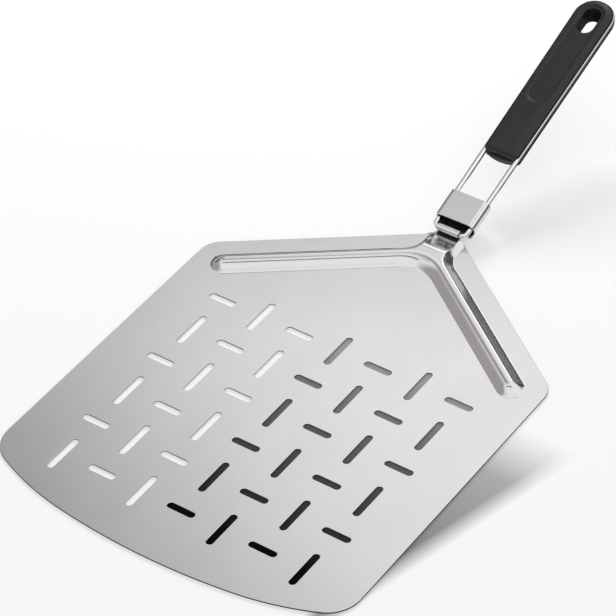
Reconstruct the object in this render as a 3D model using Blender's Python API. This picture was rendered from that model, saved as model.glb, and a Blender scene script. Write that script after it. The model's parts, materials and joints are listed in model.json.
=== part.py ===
"""Pizza peel: slotted steel blade, folding rod handle, sliding lock sleeve and two-part grip.

Metres, +Z up, +Y from the blade's front edge towards the handle. The origin is on the
ground under the middle of the whole peel. The blade lies flat, with the handle unfolded.
"""

import math

import bmesh
import bpy
from mathutils import Vector
from mathutils.geometry import delaunay_2d_cdt

MM = 0.001

# Clearance between separate pieces
GAP = 0.35 * MM

# Blade blank, measured from the centre of the slot grid
SHEET = 1.2 * MM
BLADE_HALF_WIDTH = 152.5 * MM
FRONT_Y = -145.4 * MM
FRONT_RADIUS = 540 * MM
FRONT_TURN = math.radians(8)
FRONT_SIDE_RADIUS = 230 * MM
FRONT_SIDE_TURN = math.radians(24)
REAR_VERTEX_Y = 252.5 * MM
REAR_SLOPE = math.radians(35.6)
SHOULDER_RADIUS = 18 * MM
NOTCH_X = 13.2 * MM
NOTCH_ROUND = 1.6 * MM
TONGUE_HALF_WIDTH = 9.4 * MM
ARC_STEP = math.radians(9)
COARSE_ARC_STEP = math.radians(18)
FRONT_ARC_STEP = math.radians(1.8)
NORMAL_STEP = 0.02 * MM
POINT_TOLERANCE = 1e-7

# Slots in the blade
SLOT_COLUMNS = 7
SLOT_ROWS = 6
SLOT_PITCH_X = 34.8 * MM
SLOT_PITCH_Y = 38.4 * MM
SLOT_LENGTH_ACROSS = 23.1 * MM
SLOT_LENGTH_ALONG = 33.2 * MM
SLOT_WIDTH = 5.6 * MM
SLOT_END_STEPS = 5

# Pressed rib along both slanted rear edges: sloping outer wall, rounded shoulder inside
RIB_HEIGHT = 6.8 * MM
RIB_CREST = 25.4 * MM
RIB_OUTER_RUN = 10.3 * MM
RIB_INNER_RUN = 11.2 * MM
RIB_SHOULDER_POWER = 3.0
RIB_FOOT_POWER = 1.5
RIB_END = 174.5 * MM
RIB_END_RUN = 11.2 * MM
RIB_ROUND = 20 * MM
RIB_EASE = 0.25
RIB_STATIONS = 11
RIB_TIP = 12.4 * MM
RIB_TIP_STATIONS = 9
RIB_NEAR_STEP = 2.2 * MM
RIB_NEAR_STEPS = 11
RIB_CONTOURS = (-1.0, -0.86, -0.7, -0.3, -0.14, 0.0, 0.3, 0.5, 0.68, 0.84, 0.94, 1.0)

# Raised neck between the rib and the hinge barrel
NECK_FLAT = 9.4 * MM
NECK_WALL = 6.0 * MM
NECK_CORNER = 9.0 * MM
NECK_CREST_Y = 220 * MM
NECK_GRID = 1.6 * MM
NECK_MARGIN = 0.8 * MM

# Hinge and handle
HINGE_Y = 244 * MM
HINGE_Z = 8.4 * MM
HANDLE_TILT = math.radians(18.3)
ROD_RADIUS = 2.0 * MM
BARREL_BORE = ROD_RADIUS + GAP
ROLL_RADIUS = BARREL_BORE + SHEET / 2
ROLL_ANGLE = math.radians(268)
ROLL_STEPS = 18
TONGUE_STRAIGHT = 5.0 * MM

# Rod: hooked ends, slightly spreading legs and loop, as half widths and distances along the handle
ROD_END_X = 0.6 * MM
ROD_BEND = 4.0 * MM
LEG_X = 13.7 * MM
LOOP_X = 15.1 * MM
LOOP_CENTRE = 216.2 * MM
ROD_SIDES = 12

# Lock sleeve
SLEEVE_START = 8.1 * MM
SLEEVE_LENGTH = 24 * MM
SLEEVE_FLAP = 5.0 * MM
SLEEVE_SHEET = 0.9 * MM
SLEEVE_HALF_WIDTH = 17.1 * MM
SLEEVE_TOP = 4.8 * MM
SLEEVE_BOTTOM = -7.0 * MM
SLEEVE_LIP = -3.9 * MM
SLEEVE_ROUND = 4.4 * MM

# Grip halves
GRIP_LOW_HALF_WIDTH = 15.5 * MM
GRIP_FAR_HALF_WIDTH = 16.5 * MM
GRIP_UPPER_START = 75.1 * MM
GRIP_LOWER_START = 72.6 * MM
GRIP_UPPER_HEIGHT = 6.4 * MM
GRIP_LOWER_DEPTH = 7.6 * MM
GRIP_UPPER_ROUND = (8.4 * MM, 5.6 * MM)
GRIP_LOWER_ROUND = (3.6 * MM, 3.6 * MM)
GRIP_END_BOW = 2.0 * MM
GRIP_CORNER = 4.0 * MM
GRIP_CORNER_LEAST = 0.6 * MM
GRIP_BOW_STEPS = 6
GRIP_LEVELS = 12
PARTING = 0.15 * MM
GROOVE_RADIUS = ROD_RADIUS + GAP

# Thumb recess and hang hole in the grip
RECESS_HALF_WIDTH = 8.6 * MM
RECESS_START = 128.1 * MM
RECESS_END = 224.4 * MM
RECESS_DEPTH = 1.8 * MM
RECESS_SLOPE = 2.6 * MM
HOLE_TOP_HALF_WIDTH = 7.6 * MM
HOLE_TOP_START = 198.6 * MM
HOLE_TOP_END = 224.2 * MM
HOLE_LOW_HALF_WIDTH = 6.0 * MM
HOLE_LOW_START = 200.0 * MM
HOLE_LOW_END = 218.8 * MM

# Grip screws
SCREW_PLACES = (96 * MM, 144 * MM, 189 * MM)
SCREW_HEAD_RADIUS = 2.9 * MM
SCREW_HEAD_HEIGHT = 2.0 * MM
SCREW_SHAFT_RADIUS = 1.4 * MM
SCREW_SEAT = -4.0 * MM
SCREW_TIP = 3.4 * MM
SCREW_EDGE = 0.5 * MM
SCREW_SIDES = 16

# Reach of cutters past the faces that they open
REACH = 6 * MM

COS_REAR = math.cos(REAR_SLOPE)
TAN_REAR = math.tan(REAR_SLOPE)


def clear_scene():
    for item in list(bpy.data.objects):
        bpy.data.objects.remove(item, do_unlink=True)


def make_material(name, colour, metallic, roughness):
    material = bpy.data.materials.new(name)
    material.use_nodes = True
    shader = material.node_tree.nodes["Principled BSDF"]
    shader.inputs["Base Color"].default_value = (*colour, 1.0)
    shader.inputs["Metallic"].default_value = metallic
    shader.inputs["Roughness"].default_value = roughness
    return material


def make_empty(name, location, parent=None, tilt=0.0):
    empty = bpy.data.objects.new(name, None)
    bpy.context.scene.collection.objects.link(empty)
    empty.location = location
    empty.rotation_euler = (tilt, 0.0, 0.0)
    empty.parent = parent
    return empty


def make_object(name, mesh, parent, material=None, sharp_angle=30):
    item = bpy.data.objects.new(name, mesh)
    bpy.context.scene.collection.objects.link(item)
    item.parent = parent
    if material:
        mesh.materials.append(material)
        mesh.shade_smooth()
        mesh.set_sharp_from_angle(angle=math.radians(sharp_angle))
    return item


def mesh_from_bmesh(name, bm):
    bmesh.ops.recalc_face_normals(bm, faces=bm.faces)
    mesh = bpy.data.meshes.new(name)
    bm.to_mesh(mesh)
    bm.free()
    return mesh


def cut(target, cutter):
    """Take the cutter's space out of the target."""
    cutter.hide_render = True
    cutter.display_type = "WIRE"
    boolean = target.modifiers.new(cutter.name, "BOOLEAN")
    boolean.operation = "DIFFERENCE"
    boolean.solver = "MANIFOLD"
    boolean.object = cutter


def arc(centre, radius, start, end, step=ARC_STEP):
    """Points along a circular arc, both ends included."""
    count = max(2, math.ceil(abs(end - start) / step))
    points = []
    for i in range(count + 1):
        angle = start + (end - start) * i / count
        points.append((centre[0] + radius * math.cos(angle), centre[1] + radius * math.sin(angle)))
    return points


def ramp(t, ease):
    """Rise from 0 to 1 with a straight middle and rounded ends."""
    t = min(max(t, 0.0), 1.0)
    rate = 1 / (1 - ease)
    if t < ease:
        return rate * t * t / (2 * ease)
    if t > 1 - ease:
        return 1 - rate * (1 - t) ** 2 / (2 * ease)
    return rate * (t - ease / 2)


def loft(name, loops):
    """Skin a list of loops, each a list of points, into one closed solid."""
    bm = bmesh.new()
    rings = [[bm.verts.new(point) for point in loop] for loop in loops]
    count = len(rings[0])
    for lower, upper in zip(rings, rings[1:]):
        for i in range(count):
            j = (i + 1) % count
            bm.faces.new((lower[i], lower[j], upper[j], upper[i]))
    bm.faces.new(rings[0][::-1])
    bm.faces.new(rings[-1])
    return mesh_from_bmesh(name, bm)


# Blade: pressed shape of the sheet

def rear_offset(x, y):
    """Distance inward from the slanted rear edges, rounded where the two sides meet."""
    near = (REAR_VERTEX_Y - TAN_REAR * abs(x) - y) * COS_REAR
    blend = max(RIB_ROUND - 2 * math.sin(REAR_SLOPE) * abs(x), 0.0) / RIB_ROUND
    return near - RIB_ROUND * blend * blend / 4


def rear_contour(x, offset):
    """The y of the line at one offset from the rear edges."""
    blend = max(RIB_ROUND - 2 * math.sin(REAR_SLOPE) * abs(x), 0.0) / RIB_ROUND
    return REAR_VERTEX_Y - TAN_REAR * abs(x) - (offset + RIB_ROUND * blend * blend / 4) / COS_REAR


def wall_share(x, y):
    """Share of the full height on the outer wall of rib and neck, rounded in the corner between them."""
    from_rib = RIB_CREST - rear_offset(x, y)
    from_neck = abs(x) - NECK_FLAT
    overlap = max(NECK_CORNER - abs(from_rib - from_neck), 0.0)
    outward = min(from_rib, from_neck) - overlap * overlap / (4 * NECK_CORNER)
    neck = min(max(0.5 + (from_rib - from_neck) / (2 * NECK_CORNER), 0.0), 1.0)
    run = RIB_OUTER_RUN + (NECK_WALL - RIB_OUTER_RUN) * neck
    return ramp(1 - outward / run, RIB_EASE)


def nose_share(across, past):
    """Share of the full height inside the rib's crest and all round the end of the crest."""
    reach = math.hypot(across, past)
    inner = (across / reach + 1) / 2 if reach else 1.0
    run = RIB_OUTER_RUN + (RIB_INNER_RUN - RIB_OUTER_RUN) * inner
    t = min(reach / run, 1.0)
    shoulder = (1 - t ** RIB_SHOULDER_POWER) ** RIB_FOOT_POWER
    wall = ramp(1 - t, RIB_EASE)
    return wall + (shoulder - wall) * inner


def roll_start():
    """Where the tongue's middle surface meets the roll: y, and height over the flat plate."""
    y = HINGE_Y + ROLL_RADIUS * math.sin(HANDLE_TILT)
    height = HINGE_Z - ROLL_RADIUS * math.cos(HANDLE_TILT) - SHEET / 2
    return y, height


def ridge_height(y):
    """Height along the middle of rib, neck and tongue."""
    start_y, start_height = roll_start()
    slope_y = start_y - TONGUE_STRAIGHT
    slope_height = start_height - TONGUE_STRAIGHT * math.tan(HANDLE_TILT)
    if y > slope_y:
        return start_height - (start_y - y) * math.tan(HANDLE_TILT)
    # Cubic from the level crest of the rib to the sloping tongue
    t = min(max((y - NECK_CREST_Y) / (slope_y - NECK_CREST_Y), 0.0), 1.0)
    span = (slope_y - NECK_CREST_Y) * math.tan(HANDLE_TILT)
    return RIB_HEIGHT + (slope_height - RIB_HEIGHT) * t * t * (3 - 2 * t) + span * t * t * (t - 1)


def press_height(x, y):
    """Height of the sheet's middle surface over the flat plate."""
    across = rear_offset(x, y) - RIB_CREST
    along = COS_REAR * (abs(x) + TAN_REAR * (REAR_VERTEX_Y - y))
    past = max(along - RIB_END, 0.0)
    share = nose_share(across, past) if past or across > 0 else wall_share(x, y)
    return ridge_height(y) * share


def sheet_point(x, y):
    """Place a point of the flat blank on the pressed and rolled middle surface."""
    start_y, start_height = roll_start()
    if y <= start_y:
        return Vector((x, y, SHEET / 2 + press_height(x, y)))
    angle = (y - start_y) / ROLL_RADIUS + HANDLE_TILT
    return Vector((x, HINGE_Y + ROLL_RADIUS * math.sin(angle), HINGE_Z - ROLL_RADIUS * math.cos(angle)))


def sheet_faces(x, y):
    """The sheet's upper and lower points over one point of the blank."""
    along_x = sheet_point(x + NORMAL_STEP, y) - sheet_point(x - NORMAL_STEP, y)
    along_y = sheet_point(x, y + NORMAL_STEP) - sheet_point(x, y - NORMAL_STEP)
    normal = along_x.cross(along_y).normalized()
    middle = sheet_point(x, y)
    return middle + normal * SHEET / 2, middle - normal * SHEET / 2


# Blade: outline, slots and guide lines of the flat blank

def front_half():
    """Right half of the front edge: two wide arcs and a corner, each tangent to the one before."""
    points = [(0.0, FRONT_Y)]
    arcs = ((FRONT_RADIUS, 0.0, FRONT_TURN), (FRONT_SIDE_RADIUS, FRONT_TURN, FRONT_SIDE_TURN))
    for radius, start, end in arcs:
        x, y = points[-1]
        centre = (x - radius * math.sin(start), y + radius * math.cos(start))
        points += arc(centre, radius, start - math.pi / 2, end - math.pi / 2, FRONT_ARC_STEP)[1:]
    x, y = points[-1]
    corner = (BLADE_HALF_WIDTH - x) / (1 - math.sin(FRONT_SIDE_TURN))
    centre = (BLADE_HALF_WIDTH - corner, y + corner * math.cos(FRONT_SIDE_TURN))
    return points + arc(centre, corner, FRONT_SIDE_TURN - math.pi / 2, 0.0)[1:]


def half_outline():
    """Right half of the blank, from the front apex to the notch beside the tongue."""
    points = front_half()
    # Shoulder between the straight side and the slanted rear edge
    shoulder_corner_y = REAR_VERTEX_Y - TAN_REAR * BLADE_HALF_WIDTH
    turn = math.pi / 2 - REAR_SLOPE
    shoulder_y = shoulder_corner_y - SHOULDER_RADIUS * math.tan(turn / 2)
    points += arc((BLADE_HALF_WIDTH - SHOULDER_RADIUS, shoulder_y), SHOULDER_RADIUS, 0.0, turn)
    # Notch beside the tongue, rounded at both turns
    notch_y = REAR_VERTEX_Y - TAN_REAR * NOTCH_X
    points.append((NOTCH_X + 2 * NOTCH_ROUND, notch_y - 2 * NOTCH_ROUND * TAN_REAR))
    points += arc((NOTCH_X - NOTCH_ROUND * math.sin(REAR_SLOPE), notch_y - NOTCH_ROUND * COS_REAR),
                  NOTCH_ROUND, math.pi / 2 - REAR_SLOPE, math.pi / 2, COARSE_ARC_STEP)
    inner_y = points[-1][1]
    points += arc((TONGUE_HALF_WIDTH + NOTCH_ROUND, inner_y + NOTCH_ROUND), NOTCH_ROUND,
                  -math.pi / 2, -math.pi, COARSE_ARC_STEP)
    return points


def tongue_lines():
    """The y of each cross line on the tongue, up to its rolled end."""
    start_y = roll_start()[0]
    length = ROLL_RADIUS * (ROLL_ANGLE - HANDLE_TILT)
    lines = [start_y - TONGUE_STRAIGHT / 4, start_y]
    lines += [start_y + length * (i + 1) / ROLL_STEPS for i in range(ROLL_STEPS)]
    return lines


def slot_outline(x, y, length, angle):
    """A slot with round ends."""
    reach = (length - SLOT_WIDTH) / 2
    points = []
    for side in (0, 1):
        facing = angle + math.pi * side
        centre = (x + reach * math.cos(facing), y + reach * math.sin(facing))
        start = facing - math.pi / 2
        points += arc(centre, SLOT_WIDTH / 2, start, start + math.pi, math.pi / SLOT_END_STEPS)
    return points


def slots():
    """Every slot as its outline, its centre, its half reach and its angle."""
    found = []
    for column in range(SLOT_COLUMNS):
        for row in range(SLOT_ROWS):
            x = (column - (SLOT_COLUMNS - 1) / 2) * SLOT_PITCH_X
            y = ((SLOT_ROWS - 1) / 2 - row) * SLOT_PITCH_Y
            across = (column + row) % 2 == 0
            length = SLOT_LENGTH_ACROSS if across else SLOT_LENGTH_ALONG
            angle = 0.0 if across else math.pi / 2
            found.append((slot_outline(x, y, length, angle), x, y, length, angle))
    return found


def rib_stations(reach):
    """The x of each station along a rib line: close together over the neck and at the ends."""
    near = [i * RIB_NEAR_STEP for i in range(RIB_NEAR_STEPS + 1)]
    tip = reach - COS_REAR * RIB_TIP
    far = [near[-1] + (tip - near[-1]) * (i + 1) / RIB_STATIONS for i in range(RIB_STATIONS)]
    end = [tip + (reach - tip) * (i + 1) / RIB_TIP_STATIONS for i in range(RIB_TIP_STATIONS)]
    half = near + far + end
    return [-x for x in half[:0:-1]] + half


def rib_lines():
    """Lines along the rib, from one end through the centre to the other."""
    lines = []
    for place in RIB_CONTOURS:
        run = RIB_OUTER_RUN if place < 0 else RIB_INNER_RUN
        offset = RIB_CREST + place * run
        reach = COS_REAR * (RIB_END + RIB_END_RUN) - math.sin(REAR_SLOPE) * offset
        lines.append([(x, rear_contour(x, offset)) for x in rib_stations(reach)])
    return lines


def neck_points(outline_top):
    """Loose points over the neck between the rib's crest and the rear edges, for a smooth saddle."""
    points = []
    reach = NECK_FLAT + NECK_WALL + NECK_CORNER / 2
    low = rear_contour(reach, RIB_CREST)
    columns = math.ceil(reach / NECK_GRID)
    rows = math.ceil((outline_top - low) / NECK_GRID)
    for i in range(-columns, columns + 1):
        for j in range(rows):
            x = i * NECK_GRID
            y = low + j * NECK_GRID
            inside = NECK_MARGIN < rear_offset(x, y) < RIB_CREST - NECK_MARGIN
            if inside and y < outline_top - NECK_MARGIN:
                points.append((x, y))
    return points


def blade_mesh():
    right = half_outline()
    notch_top = right[-1][1]
    lines = [y for y in tongue_lines() if y > notch_top]
    right += [(TONGUE_HALF_WIDTH, y) for y in lines]
    left = [(-x, y) for x, y in right[1:]]
    points = []
    edges = []

    def add_chain(chain, closed):
        first = len(points)
        points.extend(Vector(point) for point in chain)
        edges.extend((first + i, first + i + 1) for i in range(len(chain) - 1))
        if closed:
            edges.append((first + len(chain) - 1, first))
        return first

    add_chain(right + left[::-1], True)
    # Cross lines that carry the roll from one side of the tongue to the other
    for y in lines[:-1]:
        add_chain([(-TONGUE_HALF_WIDTH, y), (TONGUE_HALF_WIDTH, y)], False)
    all_slots = slots()
    for outline, *_ in all_slots:
        add_chain(outline, True)
    for line in rib_lines():
        add_chain(line, False)
    points.extend(Vector(point) for point in neck_points(notch_top))

    flat, _, triangles, *_ = delaunay_2d_cdt(points, edges, [], 1, POINT_TOLERANCE)

    def in_slot(triangle):
        middle = sum((flat[i] for i in triangle), Vector((0.0, 0.0))) / 3
        for _, x, y, length, angle in all_slots:
            along = (middle.x - x) * math.cos(angle) + (middle.y - y) * math.sin(angle)
            across = (middle.y - y) * math.cos(angle) - (middle.x - x) * math.sin(angle)
            past = max(abs(along) - (length - SLOT_WIDTH) / 2, 0.0)
            if math.hypot(past, across) < SLOT_WIDTH / 2:
                return True
        return False

    bm = bmesh.new()
    pairs = [sheet_faces(point.x, point.y) for point in flat]
    upper = [bm.verts.new(pair[0]) for pair in pairs]
    lower = [bm.verts.new(pair[1]) for pair in pairs]
    seen = {}
    for triangle in triangles:
        if in_slot(triangle):
            continue
        a, b, c = triangle
        bm.faces.new((upper[a], upper[b], upper[c]))
        bm.faces.new((lower[c], lower[b], lower[a]))
        for edge in ((a, b), (b, c), (c, a)):
            seen[edge] = True
    for a, b in seen:
        if (b, a) not in seen:
            bm.faces.new((lower[a], lower[b], upper[b], upper[a]))
    loose = [vert for vert in bm.verts if not vert.link_faces]
    bmesh.ops.delete(bm, geom=loose, context="VERTS")
    mesh = bpy.data.meshes.new("blade")
    bm.to_mesh(mesh)
    bm.free()
    return mesh


# Handle: rod, sleeve, grip and screws; Y runs along the handle and Z out of its top

def rod_path():
    """The rod's centre line as x and distance along the handle."""
    bend = LEG_X - ROD_BEND
    half = [(ROD_END_X, 0.0)]
    half += arc((bend, ROD_BEND), ROD_BEND, -math.pi / 2, 0.0, COARSE_ARC_STEP)
    half += arc((0.0, LOOP_CENTRE), LOOP_X, 0.0, math.pi / 2)
    return half + [(-x, s) for x, s in half[-2::-1]]


def rod_mesh(name, radius):
    """A round rod along the path, with mitred rings."""
    path = [Vector(point) for point in rod_path()]
    loops = []
    for i, point in enumerate(path):
        before = (point - path[max(i - 1, 0)]).normalized()
        after = (path[min(i + 1, len(path) - 1)] - point).normalized()
        tangent = (before + after).normalized()
        mitre = 1 / max(tangent.dot(before), tangent.dot(after))
        side = Vector((tangent.y, -tangent.x)) * mitre
        loop = []
        for k in range(ROD_SIDES):
            angle = 2 * math.pi * (k + 0.5) / ROD_SIDES
            across = side * radius * math.cos(angle)
            loop.append((point.x + across.x, point.y + across.y, radius * math.sin(angle)))
        loops.append(loop)
    return loft(name, loops)


def rounded_box_loop(half_width, top, bottom, rounding, y):
    """A rounded rectangle across the handle at one distance along it."""
    points = []
    corners = ((1, top - rounding), (-1, top - rounding), (-1, bottom + rounding), (1, bottom + rounding))
    for quarter, (side, z) in enumerate(corners):
        start = quarter * math.pi / 2
        centre = (side * (half_width - rounding), z)
        points += arc(centre, rounding, start, start + math.pi / 2, COARSE_ARC_STEP)
    return [(x, y, z) for x, z in points]


def sleeve_block(name, inset, bottom, start, end):
    """A rounded block of the sleeve, drawn in by inset from its outer faces."""
    size = (SLEEVE_HALF_WIDTH - inset, SLEEVE_TOP - inset, bottom, SLEEVE_ROUND - inset)
    return loft(name, [rounded_box_loop(*size, start), rounded_box_loop(*size, end)])


def make_sleeve(parent, hinge, material):
    """Folded sleeve: open mouth over a longer bottom with a turned-up lip, end wall with two rod holes."""
    outside = sleeve_block("lock_sleeve", 0.0, SLEEVE_BOTTOM, -SLEEVE_FLAP, SLEEVE_LENGTH)
    sleeve = make_object("lock_sleeve", outside, parent, material)
    inside = sleeve_block("sleeve_inside", SLEEVE_SHEET, SLEEVE_BOTTOM + SLEEVE_SHEET,
                          SLEEVE_SHEET - SLEEVE_FLAP, SLEEVE_LENGTH - SLEEVE_SHEET)
    mouth = sleeve_block("sleeve_mouth", SLEEVE_SHEET, SLEEVE_LIP, -SLEEVE_FLAP - REACH, SLEEVE_LENGTH / 2)
    # Everything over the bottom flap, past the sleeve's outer faces
    clear = (SLEEVE_HALF_WIDTH + REACH, SLEEVE_TOP + REACH, SLEEVE_LIP, SLEEVE_SHEET)
    over_flap = loft("sleeve_over_flap", [rounded_box_loop(*clear, -SLEEVE_FLAP - REACH),
                                          rounded_box_loop(*clear, 0.0)])
    cut(sleeve, make_object("sleeve_inside", inside, parent))
    cut(sleeve, make_object("sleeve_mouth", mouth, parent))
    cut(sleeve, make_object("sleeve_over_flap", over_flap, parent))
    cut(sleeve, make_object("sleeve_rod_holes", rod_mesh("sleeve_rod_holes", GROOVE_RADIUS), hinge))
    return sleeve


def grip_outline(start, inset, bow):
    """Plan of a grip half: bowed lower end, slightly spreading sides and a round far end."""
    half = GRIP_LOW_HALF_WIDTH - inset
    low = start + inset
    corner = max(GRIP_CORNER - inset, GRIP_CORNER_LEAST)
    points = arc((half - corner, low + bow + corner), corner, -math.pi / 2, 0.0, COARSE_ARC_STEP)
    points += arc((0.0, LOOP_CENTRE), GRIP_FAR_HALF_WIDTH - inset, 0.0, math.pi)
    points += arc((corner - half, low + bow + corner), corner, -math.pi, -math.pi / 2, COARSE_ARC_STEP)
    # Bow of the lower end, between the two corners
    for i in range(1, GRIP_BOW_STEPS):
        t = -1 + 2 * i / GRIP_BOW_STEPS
        points.append((t * (half - corner), low + bow * t * t))
    return points


def grip_half(name, start, height, rounding, bow, side, parent, material):
    """A moulded half with rounded edges, on one side of the parting plane."""
    loops = [[(x, y, side * PARTING) for x, y in grip_outline(start, 0.0, bow)]]
    for i in range(GRIP_LEVELS + 1):
        angle = math.pi / 2 * i / GRIP_LEVELS
        inset = rounding[0] * (1 - math.cos(angle))
        level = height - rounding[1] * (1 - math.sin(angle))
        loops.append([(x, y, side * level) for x, y in grip_outline(start, inset, bow)])
    return make_object(name, loft(name, loops), parent, material)


def stadium(half_width, start, end, z):
    """A long opening with round ends."""
    points = arc((0.0, end - half_width), half_width, 0.0, math.pi, COARSE_ARC_STEP)
    points += arc((0.0, start + half_width), half_width, math.pi, 2 * math.pi, COARSE_ARC_STEP)
    return [(x, y, z) for x, y in points]


def make_hang_hole(parent):
    """Cutter of the hang hole, tapering from the recess floor down to the underside."""
    floor = GRIP_UPPER_HEIGHT - RECESS_DEPTH
    low = (HOLE_LOW_HALF_WIDTH, HOLE_LOW_START, HOLE_LOW_END)
    top = (HOLE_TOP_HALF_WIDTH, HOLE_TOP_START, HOLE_TOP_END)
    loops = [stadium(*low, -GRIP_LOWER_DEPTH - REACH), stadium(*low, -GRIP_LOWER_DEPTH),
             stadium(*top, floor), stadium(*top, floor + REACH)]
    return make_object("hang_hole_cut", loft("hang_hole_cut", loops), parent)


def make_recess(parent):
    """Cutter of the shallow thumb recess that runs up to the hang hole, with sloping sides."""
    floor = GRIP_UPPER_HEIGHT - RECESS_DEPTH
    rise = RECESS_DEPTH + REACH / 2
    grow = RECESS_SLOPE * rise / RECESS_DEPTH
    low = stadium(RECESS_HALF_WIDTH, RECESS_START, RECESS_END, floor)
    high = stadium(RECESS_HALF_WIDTH + grow, RECESS_START - grow, RECESS_END + grow, floor + rise)
    return make_object("recess_cut", loft("recess_cut", [low, high]), parent)


def turned(name, profile, place):
    """A round solid about an upright axis, from radius and height pairs."""
    loops = []
    for radius, z in profile:
        loop = []
        for i in range(SCREW_SIDES):
            angle = 2 * math.pi * i / SCREW_SIDES
            loop.append((radius * math.cos(angle), place + radius * math.sin(angle), z))
        loops.append(loop)
    return loft(name, loops)


def screw_profile(gap):
    """Screw from head to tip, or with a gap the hole that it needs."""
    head = SCREW_HEAD_RADIUS + gap
    shaft = SCREW_SHAFT_RADIUS + gap
    bottom = SCREW_SEAT - SCREW_HEAD_HEIGHT
    tip = SCREW_TIP + gap
    if gap:
        bottom = -GRIP_LOWER_DEPTH - REACH
    seat = SCREW_SEAT + gap
    return [(head - SCREW_EDGE, bottom), (head, bottom + SCREW_EDGE), (head, seat), (shaft, seat),
            (shaft, tip - 2 * SCREW_EDGE), (shaft - SCREW_EDGE, tip)]


def make_screws(parent, halves, material):
    for number, place in enumerate(SCREW_PLACES, start=1):
        name = f"grip_screw_{number}"
        make_object(name, turned(name, screw_profile(0.0), place), parent, material)
        hole_name = f"screw_hole_{number}"
        hole = make_object(hole_name, turned(hole_name, screw_profile(GAP), place), parent)
        for half in halves:
            cut(half, hole)


def make_grip(parent, plastic):
    upper = grip_half("grip_upper", GRIP_UPPER_START, GRIP_UPPER_HEIGHT, GRIP_UPPER_ROUND,
                      0.0, 1, parent, plastic[0])
    lower = grip_half("grip_lower", GRIP_LOWER_START, GRIP_LOWER_DEPTH, GRIP_LOWER_ROUND,
                      GRIP_END_BOW, -1, parent, plastic[1])
    groove = make_object("rod_groove_cut", rod_mesh("rod_groove_cut", GROOVE_RADIUS), parent)
    hole = make_hang_hole(parent)
    for half in (upper, lower):
        cut(half, groove)
        cut(half, hole)
    cut(upper, make_recess(parent))
    return upper, lower


def centre_on_ground(root):
    """Move the whole peel so that the origin is under the middle of its box."""
    bpy.context.view_layer.update()
    graph = bpy.context.evaluated_depsgraph_get()
    low = Vector((math.inf, math.inf, math.inf))
    high = -low
    for item in bpy.data.objects:
        if item.type == "EMPTY" or item.hide_render:
            continue
        shape = item.evaluated_get(graph)
        mesh = shape.to_mesh()
        for vert in mesh.vertices:
            point = item.matrix_world @ vert.co
            low = Vector(map(min, low, point))
            high = Vector(map(max, high, point))
        shape.to_mesh_clear()
    middle = (low + high) / 2
    root.location = (-middle.x, -middle.y, -low.z)
    bpy.context.view_layer.update()
    return high - low


def main():
    clear_scene()
    steel = make_material("blade_steel", (0.62, 0.62, 0.63), 1.0, 0.34)
    rod_steel = make_material("rod_steel", (0.72, 0.72, 0.73), 1.0, 0.14)
    sleeve_steel = make_material("sleeve_steel", (0.60, 0.60, 0.61), 1.0, 0.28)
    screw_steel = make_material("screw_steel", (0.45, 0.45, 0.47), 1.0, 0.35)
    upper_plastic = make_material("grip_upper_plastic", (0.042, 0.042, 0.044), 0.0, 0.48)
    lower_plastic = make_material("grip_lower_plastic", (0.036, 0.036, 0.038), 0.0, 0.52)

    root = make_empty("peel_base", (0.0, 0.0, 0.0))
    hinge = make_empty("handle_hinge", (0.0, HINGE_Y, HINGE_Z), root, HANDLE_TILT)
    rail = make_empty("sleeve_rail", (0.0, SLEEVE_START, 0.0), hinge)

    make_object("blade", blade_mesh(), root, steel)
    make_object("wire_frame", rod_mesh("wire_frame", ROD_RADIUS), hinge, rod_steel)
    make_sleeve(rail, hinge, sleeve_steel)
    halves = make_grip(hinge, (upper_plastic, lower_plastic))
    make_screws(hinge, halves, screw_steel)

    size = centre_on_ground(root)
    print("size", [round(value, 5) for value in size])
    print("hinge axis at", [round(value, 6) for value in hinge.matrix_world.translation])
    print("sleeve start at", [round(value, 6) for value in rail.matrix_world.translation])


main()
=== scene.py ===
import json
import math

import bmesh
import bpy
from mathutils import Matrix, Vector
from mathutils.geometry import delaunay_2d_cdt


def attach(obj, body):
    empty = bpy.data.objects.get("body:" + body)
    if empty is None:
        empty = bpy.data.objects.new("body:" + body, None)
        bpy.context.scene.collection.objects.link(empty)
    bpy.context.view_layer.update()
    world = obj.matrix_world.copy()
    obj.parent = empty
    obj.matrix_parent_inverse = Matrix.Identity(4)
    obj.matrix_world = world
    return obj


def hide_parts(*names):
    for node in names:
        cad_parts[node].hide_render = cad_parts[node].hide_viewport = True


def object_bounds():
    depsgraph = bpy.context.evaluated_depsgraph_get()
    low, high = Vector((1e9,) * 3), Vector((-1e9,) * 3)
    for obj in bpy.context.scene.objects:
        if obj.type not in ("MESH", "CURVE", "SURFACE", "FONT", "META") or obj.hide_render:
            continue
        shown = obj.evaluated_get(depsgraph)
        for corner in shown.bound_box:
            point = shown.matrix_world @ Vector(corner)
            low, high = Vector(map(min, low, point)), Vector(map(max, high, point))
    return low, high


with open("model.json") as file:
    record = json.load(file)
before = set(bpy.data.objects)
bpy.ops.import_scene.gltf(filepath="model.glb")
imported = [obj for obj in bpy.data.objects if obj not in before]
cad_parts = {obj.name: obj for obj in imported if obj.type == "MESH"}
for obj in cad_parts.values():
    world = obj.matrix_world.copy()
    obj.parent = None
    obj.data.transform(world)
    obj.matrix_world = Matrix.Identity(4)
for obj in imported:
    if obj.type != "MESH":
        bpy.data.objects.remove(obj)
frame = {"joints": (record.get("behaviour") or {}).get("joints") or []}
cad_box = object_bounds()
scene = bpy.context.scene

MM = 0.001
GAP = 0.35 * MM
FIT = 0.1 * MM
# How far a cutter reaches past what it cuts
REACH = 6 * MM

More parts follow.
